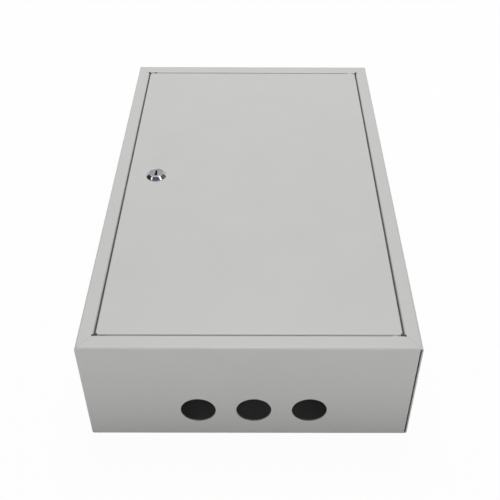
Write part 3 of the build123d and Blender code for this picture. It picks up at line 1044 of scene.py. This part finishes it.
@dataclass
class CamLock(SubAssembly):
    """Cam lock: a bevelled head over a threaded barrel, its plug, nut and cam."""

    head_edge: float = 0.0007
    rim_radius: float = 0.0079
    barrel_radius: float = 0.0094
    barrel_flats: float = 0.016
    barrel_pitch: float = 0.001
    bore: float = 0.0073
    bore_foot_round: float = 0.0002
    bore_mouth_round: float = 0.00012
    rim_round: float = 0.00018
    bevel_round: float = 0.00025
    seat_round: float = 0.00008
    neck_round: float = 0.00005
    foot_round: float = 0.0003
    round_steps: int = 7
    plug_edge: float = 0.00028
    plug_edge_rows: int = 5
    plug_face_shares: tuple[float, ...] = (0.1, 0.3, 0.55, 0.8, 1.0)
    keyway_length: float = 0.0092
    keyway_narrow: float = 0.0021
    keyway_wide: float = 0.0029
    keyway_overlap: float = 0.001
    keyway_depth: float = 0.014
    keyway_chamfer: float = 0.00012
    tail_radius: float = 0.005
    tail_flats: float = 0.007
    nut_flats: float = 0.024
    screw_radius: float = 0.0025
    screw_pitch: float = 0.0008
    screw_flats: float = 0.008
    screw_head: float = 0.0035
    washer_edge: float = 0.0002
    columns: int = 192

    def build(self) -> None:
        """Makes the lock from its head to the screw behind the cam."""
        x, y = lock_axis.xy
        self.add("lock_barrel", self.housing().placed((x, y, 0)), LOCK_CHROME, Body.DOOR, "lock_housing")
        self.add("lock_core", self.plug().placed((x, y, 0)), PLUG_NICKEL, Body.LOCK, "lock_plug")
        low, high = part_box("lock_nut")
        nut = hex_nut(self.nut_flats, self.barrel_radius, high.z - low.z)
        self.add("barrel_nut", nut.placed((x, y, low.z)), BRIGHT_ZINC, Body.DOOR, "lock_nut")
        low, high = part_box("cam_washer")
        section = ring_section(self.screw_radius, (high.x - low.x) / 2, low.z, high.z, self.washer_edge)
        washer = revolved(section, self.columns // 2, Closing.LOOPED)
        self.add("screw_washer", washer.placed((x, y, 0)), BRIGHT_ZINC, Body.LOCK, "cam_washer")
        screw = self.screw().placed((x, y, low.z), Facing.IN)
        self.add("hex_screw", screw, BRIGHT_ZINC, Body.LOCK, "cam_screw")
        self.dress(BRIGHT_ZINC, "lock_cam")

    def housing(self) -> Surface:
        """Head and barrel in one: a rounded section turned about the axis, threaded below the door.

        The reach of a barrel row is the least of the thread and the two flats.

        Returns:
            The housing about its axis.
        """
        low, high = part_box("lock_housing")
        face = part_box("door_panel")[1].z
        head_radius = (high.x - low.x) / 2
        corners = {
            (self.bore, low.z): self.bore_foot_round,
            (self.bore, high.z): self.bore_mouth_round,
            (self.rim_radius, high.z): self.rim_round,
            (head_radius, face + self.head_edge): self.bevel_round,
            (head_radius, face): self.seat_round,
            (self.barrel_radius, face): self.neck_round,
            (self.barrel_radius, low.z): self.foot_round,
        }
        arcs = corner_arcs(list(corners), list(corners.values()), self.round_steps)
        head, neck, foot = arcs[:-1].reshape(-1, 2), arcs[-2, -1], arcs[-1]
        thread = Thread(self.barrel_radius, self.barrel_pitch)
        angles = ring_angles(self.columns)
        levels = thread.levels(neck[1], foot[0, 1])[1:-1]
        flatted = flatted_reach(angles, self.barrel_radius, self.barrel_flats)
        reach = np.vstack([
            head[:, :1] * np.ones(self.columns),
            np.minimum(thread.reach(angles, levels), flatted),
            np.minimum(foot[:, :1], flatted),
        ])
        heights = np.concatenate([head[:, 1], levels, foot[:, 1]])
        return stacked(swept_reach(reach, heights, angles), Closing.LOOPED)

    def keyway(self, angles: Array) -> Array:
        """Reach of the keyway from the axis: the further edge of a narrow slot above and a wide one below.

        The edge of a round-ended slot is half its width over the cosine where that falls on a straight
        side, and otherwise the far crossing of the ray with the circle at that end.

        Args:
            angles: Directions.

        Returns:
            The reach in each direction.
        """
        slot = (self.keyway_length + self.keyway_overlap) / 2
        reaches = []
        for side, width in ((1, self.keyway_narrow), (-1, self.keyway_wide)):
            radius = width / 2
            ends = sorted((side * (self.keyway_length / 2 - radius),
                           side * (self.keyway_length / 2 - slot + radius)))
            end = np.where(np.sin(angles) > 0, ends[1], ends[0])
            straight = radius / np.maximum(np.abs(np.cos(angles)), LEAST_COSINE)
            under = np.maximum(radius**2 - (end * np.cos(angles)) ** 2, 0)
            curved = end * np.sin(angles) + np.sqrt(under)
            level = straight * np.sin(angles)
            reaches.append(np.where((level > ends[0]) & (level < ends[1]), straight, curved))
        return np.maximum(*reaches)

    def plug(self) -> Surface:
        """Plug with its keyway: rings that go up the keyway, over the face, down the side and the tail.

        Across the face a ring's reach blends from the keyway's outline to the circle of the rim.

        Returns:
            The plug about its axis.
        """
        low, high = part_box("lock_plug")
        radius = (high.x - low.x) / 2
        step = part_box("lock_cam")[1].z
        angles = ring_angles(self.columns)
        slot = self.keyway(angles)
        mouth = slot + self.keyway_chamfer
        around = np.ones_like(slot)
        rim = radius - self.plug_edge
        shares = np.array(self.plug_face_shares)[:, None]
        bend = np.linspace(0, pi / 2, self.plug_edge_rows + 1)[1:]
        edge = rim + self.plug_edge * np.sin(bend)
        tail = flatted_reach(angles, self.tail_radius, self.tail_flats, pi / 2)
        reach = np.vstack([slot, slot, mouth, mouth * (1 - shares) + rim * shares, edge[:, None] * around,
                           radius * around, rim * around, tail, tail])
        heights = np.concatenate([
            [high.z - self.keyway_depth, high.z - self.keyway_chamfer, high.z],
            np.full(len(shares), high.z),
            high.z - self.plug_edge * (1 - np.cos(bend)),
            [step + self.plug_edge, step, step, low.z],
        ])
        return stacked(swept_reach(reach, heights, angles), Closing.CAPPED)

    def screw(self) -> Surface:
        """Hexagon screw: the chamfered head, then the thread below it, narrowing at the tip.

        Returns:
            The screw, with its seat at the origin, its head up and its shank down.
        """
        low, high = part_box("cam_screw")
        length = high.z - low.z - self.screw_head
        angles = ring_angles(self.columns // 2)
        reach, level = chamfered_hexagon(self.screw_flats, 0, self.screw_head, angles)
        thread = Thread(self.screw_radius, self.screw_pitch)
        rings = np.concatenate([
            swept_reach(reach[::-1], level[::-1], angles),
            thread.pointed(angles, -length, thread.pitch),
        ])
        return stacked(rings, Closing.CAPPED)


@dataclass
class MountingBoard(SubAssembly):
    """Galvanised plate on four welded studs, with a spacer, washer and nut on each."""

    stud: StudSize = StudSize()

    fixings: ClassVar[tuple[tuple[str, str, Fixing], ...]] = (
        ("threaded_studs", "plate_studs", Fixing.ROD),
        ("spacer_tubes", "plate_spacers", Fixing.RING),
        ("flat_washers", "plate_washers", Fixing.RING),
        ("stud_nuts", "plate_nuts", Fixing.NUT),
    )

    def places(self) -> list[tuple[float, float]]:
        """Axes of the four studs, a stud's radius in from the corners of their box.

        Returns:
            X and Y of each axis.
        """
        low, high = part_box("plate_studs")
        return [(x, y) for x in (low.x + self.stud.radius, high.x - self.stud.radius)
                for y in (low.y + self.stud.radius, high.y - self.stud.radius)]

    def build(self) -> None:
        """Finishes the plate and puts each kind of fixing on all four axes, from the studs up."""
        self.dress(DIPPED_SHEET, "mounting_plate")
        places = self.places()
        for name, node, fixing in self.fixings:
            low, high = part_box(node)
            form = self.stud.form(fixing, high.z - low.z, high.x - places[-1][0])
            copies = [form.placed((x, y, low.z)) for x, y in places]
            self.add(name, Surface.joined(copies), BRIGHT_ZINC, Body.BOX, node)


@dataclass
class DeviceRails(SubAssembly):
    """Three slotted top-hat rails and the cross-recessed screws that hold them."""

    head_radius: float = 0.0046
    head_height: float = 0.0028
    crown_share: float = 0.45
    hub_share: float = 0.02
    recess_radius: float = 0.0027
    recess_depth: float = 0.0019
    arm_width: float = 0.0012
    arm_wall_share: float = 0.25
    shank_radius: float = 0.0025
    shank_pitch: float = 0.0008
    columns: int = 112
    rows: int = 34

    rails: ClassVar[tuple[str, ...]] = ("din_rail_upper", "din_rail_middle", "din_rail_lower")

    def build(self) -> None:
        """Finishes the rails and makes their screws."""
        self.dress(BRIGHT_ZINC, *self.rails)
        low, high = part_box("rail_screws")
        seat = high.z - self.head_height
        screw = self.pan_head_screw(seat - low.z)
        sides = (low.x + self.head_radius, high.x - self.head_radius)
        middles = [sum(corner.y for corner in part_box(node)) / 2 for node in self.rails]
        screws = [screw.placed((x, y, seat)) for x in sides for y in middles]
        self.add("pan_head_screws", Surface.joined(screws), BRIGHT_ZINC, Body.BOX, "rail_screws")

    def pan_head_screw(self, length: float) -> Surface:
        """Pan-head screw: a crowned disc with a cross sunk in it, then the shank and its thread.

        The crown falls as the fourth power of the radius. The cross is where the smaller of x and y is
        within half an arm, its depth falls off towards the ends of the arms, and its walls slope.

        Args:
            length: Length below the head.

        Returns:
            The screw, with its seat at the origin.
        """
        angles = ring_angles(self.columns)
        shares = np.linspace(self.hub_share, 1, self.rows)[:, None]
        radius = self.head_radius * shares * np.ones_like(angles)
        x, y = radius * np.cos(angles), radius * np.sin(angles)
        nearer = np.minimum(np.abs(x), np.abs(y))
        wall = np.clip((self.arm_width / 2 - nearer) / (self.arm_wall_share * self.arm_width), 0, 1)
        reach_left = np.clip(1 - (radius / self.recess_radius) ** 2, 0, 1) ** 0.5
        crown = self.head_height * (1 - self.crown_share * (radius / self.head_radius) ** 4)
        head = crown - self.recess_depth * wall * reach_left
        thread = Thread(self.shank_radius, self.shank_pitch)
        side = np.full((1, self.columns), self.head_radius)
        rings = np.concatenate([
            swept_reach(radius, head, angles),
            swept_reach(side, np.zeros(1), angles),
            thread.pointed(angles, -length, thread.pitch),
        ])
        return stacked(rings, Closing.CAPPED)


@dataclass
class EarthPoint(SubAssembly):
    """Welded earth stud with its washer and nut."""

    prefix: str
    body: Body
    facing: Facing
    stud: StudSize = StudSize()

    fixings: ClassVar[tuple[tuple[str, Fixing], ...]] = (
        ("stud", Fixing.ROD),
        ("washer", Fixing.RING),
        ("nut", Fixing.NUT),
    )

    def build(self) -> None:
        """Makes the stud, the washer and the nut along one axis, each on its solid's near end."""
        low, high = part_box(f"{self.prefix}_stud")
        axis = ((low.x + high.x) / 2, (low.y + high.y) / 2)
        for part, fixing in self.fixings:
            node = f"{self.prefix}_{part}"
            low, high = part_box(node)
            seat = low.z if self.facing is Facing.OUT else high.z
            form = self.stud.form(fixing, high.z - low.z, (high.x - low.x) / 2)
            piece = form.placed((*axis, seat), self.facing)
            self.add(f"{self.prefix}_{fixing.value}", piece, BRIGHT_ZINC, self.body, node)


def panel(name: str, half_x: float, half_y: float, level: float = 0.0) -> tuple[bpy.types.Object, Graph]:
    """Makes a level rectangle of the studio about the origin, with an empty material.

    Args:
        name: Name of the panel and of its material.
        half_x: Half of its width.
        half_y: Half of its length.
        level: Height that it lies at.

    Returns:
        The panel, and the graph of its material.
    """
    corners = [(x * half_x, y * half_y, level) for x, y in ((-1, -1), (1, -1), (1, 1), (-1, 1))]
    mesh = bpy.data.meshes.new(name)
    mesh.from_pydata(corners, [], [(0, 1, 2, 3)])
    material = bpy.data.materials.new(name)
    material.use_nodes = True
    mesh.materials.append(material)
    made = bpy.data.objects.new(name, mesh)
    bpy.context.scene.collection.objects.link(made)
    return made, Graph(material.node_tree)


@dataclass(frozen=True)
class Prop:
    """Rectangle of the studio that faces the object."""

    name: str
    place: Point
    width: float
    height: float

    def aim(self, holder: bpy.types.Object, target: Vector, front: str) -> None:
        """Puts the prop's object at its place, with its front axis towards a target."""
        holder.location = self.place
        holder.rotation_euler = (target - Vector(self.place)).to_track_quat(front, "Y").to_euler()


@dataclass(frozen=True)
class Softbox(Prop):
    """Lamp with an even front. Its glow is its own brightness, with white as one."""

    glow: float

    def build(self, target: Vector) -> None:
        """Hangs the lamp where the camera can't see it; its power is glow times pi times its area.

        Args:
            target: Point that it faces.
        """
        lamp = bpy.data.lights.new(self.name, "AREA")
        lamp.shape, lamp.size, lamp.size_y = "RECTANGLE", self.width, self.height
        lamp.energy = self.glow * pi * self.width * self.height
        holder = bpy.data.objects.new(self.name, lamp)
        self.aim(holder, target, "-Z")
        holder.visible_camera = False
        bpy.context.scene.collection.objects.link(holder)
        log.info("%s: %.1f W", self.name, lamp.energy)


@dataclass(frozen=True)
class DarkCard(Prop):
    """Dark card that only shows as a reflection in bright metal."""

    tone: Point

    def build(self, target: Vector) -> None:
        """Stands the card square to the object.

        Args:
            target: Point that it faces.
        """
        card, graph = panel(self.name, self.width / 2, self.height / 2)
        self.aim(card, target, "Z")
        card.visible_camera = card.visible_diffuse = card.visible_shadow = False
        graph.output(graph.node("ShaderNodeEmission", None, {"Color": (*self.tone, 1)}))
        log.info("%s: seen in reflections alone", self.name)


@dataclass
class Studio:
    """Pale floor, soft lamps and a camera at the photograph's angle."""

    floor_half: float = 9.0
    floor_drop: float = 0.0002
    floor_tone: float = 0.9
    floor_white_share: float = 0.97
    mat_margin: float = 0.09
    mat_tone: float = 0.15
    ambient: float = 0.28
    camera_place: Point = (0.00764, -0.69904, 0.62592)
    camera_pitch: float = 41.2002
    camera_yaw: float = 0.2665
    camera_roll: float = 0.3046
    focal_pixels: float = 783.94
    frame_pixels: float = 500.0
    centre_x: float = 10.84
    centre_y: float = -0.25

    lamps: ClassVar[tuple[Softbox, ...]] = (
        Softbox("top_softbox", (0.0, 0.5, 2.0), 1.0, 0.8, 10.2),
        Softbox("front_softbox", (0.0, -2.4, 0.35), 1.8, 0.5, 4.8),
        Softbox("left_softbox", (-1.69, -0.70, 1.46), 0.20, 0.20, 2.6),
        Softbox("right_softbox", (1.30, -0.70, 1.60), 0.30, 0.30, 3.0),
    )
    cards: ClassVar[tuple[DarkCard, ...]] = (
        DarkCard("camera_card", (-0.22, -1.6, 2.08), 3.2, 1.0, (0.15, 0.15, 0.19)),
        DarkCard("left_card", (-2.25, 0.30, 1.05), 2.8, 1.7, (0.045, 0.045, 0.05)),
        DarkCard("right_card", (1.95, 0.50, 1.35), 2.6, 1.5, (0.2, 0.2, 0.2)),
    )

    def build(self) -> None:
        """Sets up the floor, the world, the lamps, the cards and the camera."""
        bpy.context.scene.view_settings.view_transform = "Standard"
        low, high = cad_box
        self.floor()
        self.mat(high)
        self.world()
        for prop in (*self.lamps, *self.cards):
            prop.build((low + high) / 2)
        self.camera()

    def seen(self, graph: Graph) -> Value:
        """Tells rays by which a surface is seen, directly or in bright metal, from those that light others.

        Args:
            graph: Graph that asks.

        Returns:
            One for the rays of the camera and for those sent on by gloss or glass, zero for the rest.
        """
        path = graph.node("ShaderNodeLightPath").outputs
        rays = ("Is Camera Ray", "Is Glossy Ray", "Is Transmission Ray")
        return graph.math("MINIMUM", sum((Value(graph, path[ray]) for ray in rays), 0.0), 1.0)

    def floor(self) -> None:
        """Lays a matt floor that looks white but still takes a soft shadow."""
        _, graph = panel("floor", self.floor_half, self.floor_half, -self.floor_drop)
        matt = graph.node("ShaderNodeBsdfDiffuse", None, {"Color": grey(self.floor_tone)})
        white = graph.node("ShaderNodeEmission", None, {"Color": grey(1)})
        share = self.seen(graph) * self.floor_white_share
        both = {0: share, 1: matt.outputs[0], 2: white.outputs[0]}
        graph.output(graph.node("ShaderNodeMixShader", None, both))

    def mat(self, high: Vector) -> None:
        """Lays a dark mat that the camera can't see, so that the object's walls darken towards their foot.

        Args:
            high: Highest corner of the object, with its middle at the origin.
        """
        half_x, half_y = high.x + self.mat_margin, high.y + self.mat_margin
        plane, graph = panel("dark_mat", half_x, half_y, -self.floor_drop / 2)
        plane.visible_camera = plane.visible_glossy = plane.visible_shadow = False
        graph.output(graph.node("ShaderNodeBsdfDiffuse", None, {"Color": grey(self.mat_tone)}))

    def world(self) -> None:
        """Makes the surroundings white to look at and softer as a light."""
        world = bpy.data.worlds.new("studio")
        world.use_nodes = True
        bpy.context.scene.world = world
        graph = Graph(world.node_tree)
        strength = self.ambient + (1 - self.ambient) * self.seen(graph)
        shader = graph.node("ShaderNodeBackground", None, {"Color": grey(1), "Strength": strength})
        graph.output(shader, "ShaderNodeOutputWorld")

    def camera(self) -> None:
        """Places the camera: it looks along a pitch and a yaw, and is rolled about that line."""
        pitch, yaw, roll = map(radians, (self.camera_pitch, self.camera_yaw, self.camera_roll))
        ahead = Vector((sin(yaw) * cos(pitch), cos(yaw) * cos(pitch), -sin(pitch)))
        right = Vector((cos(yaw), -sin(yaw), 0))
        up = right.cross(ahead)
        across = cos(roll) * right + sin(roll) * up
        lens = bpy.data.cameras.new("camera")
        lens.lens = self.focal_pixels / self.frame_pixels * lens.sensor_width
        lens.shift_x = -self.centre_x / self.frame_pixels
        lens.shift_y = self.centre_y / self.frame_pixels
        holder = bpy.data.objects.new("camera", lens)
        turned = Matrix((across, across.cross(ahead), -ahead)).transposed()
        holder.matrix_world = Matrix.Translation(self.camera_place) @ turned.to_4x4()
        bpy.context.scene.collection.objects.link(holder)
        bpy.context.scene.camera = holder


def main() -> None:
    """Builds the sub-assemblies in order, then the studio round them."""
    logging.basicConfig(level=logging.INFO, format="%(message)s")
    assemblies = (
        Cabinet(),
        DoorStops(),
        MountingBoard(),
        DeviceRails(),
        EarthPoint("body_earth", Body.BOX, Facing.OUT),
        DoorLeaf(),
        HingePair(),
        EarthPoint("door_earth", Body.DOOR, Facing.IN),
        CamLock(),
        Studio(),
    )
    for assembly in assemblies:
        assembly.build()


if __name__ == "__main__":
    main()
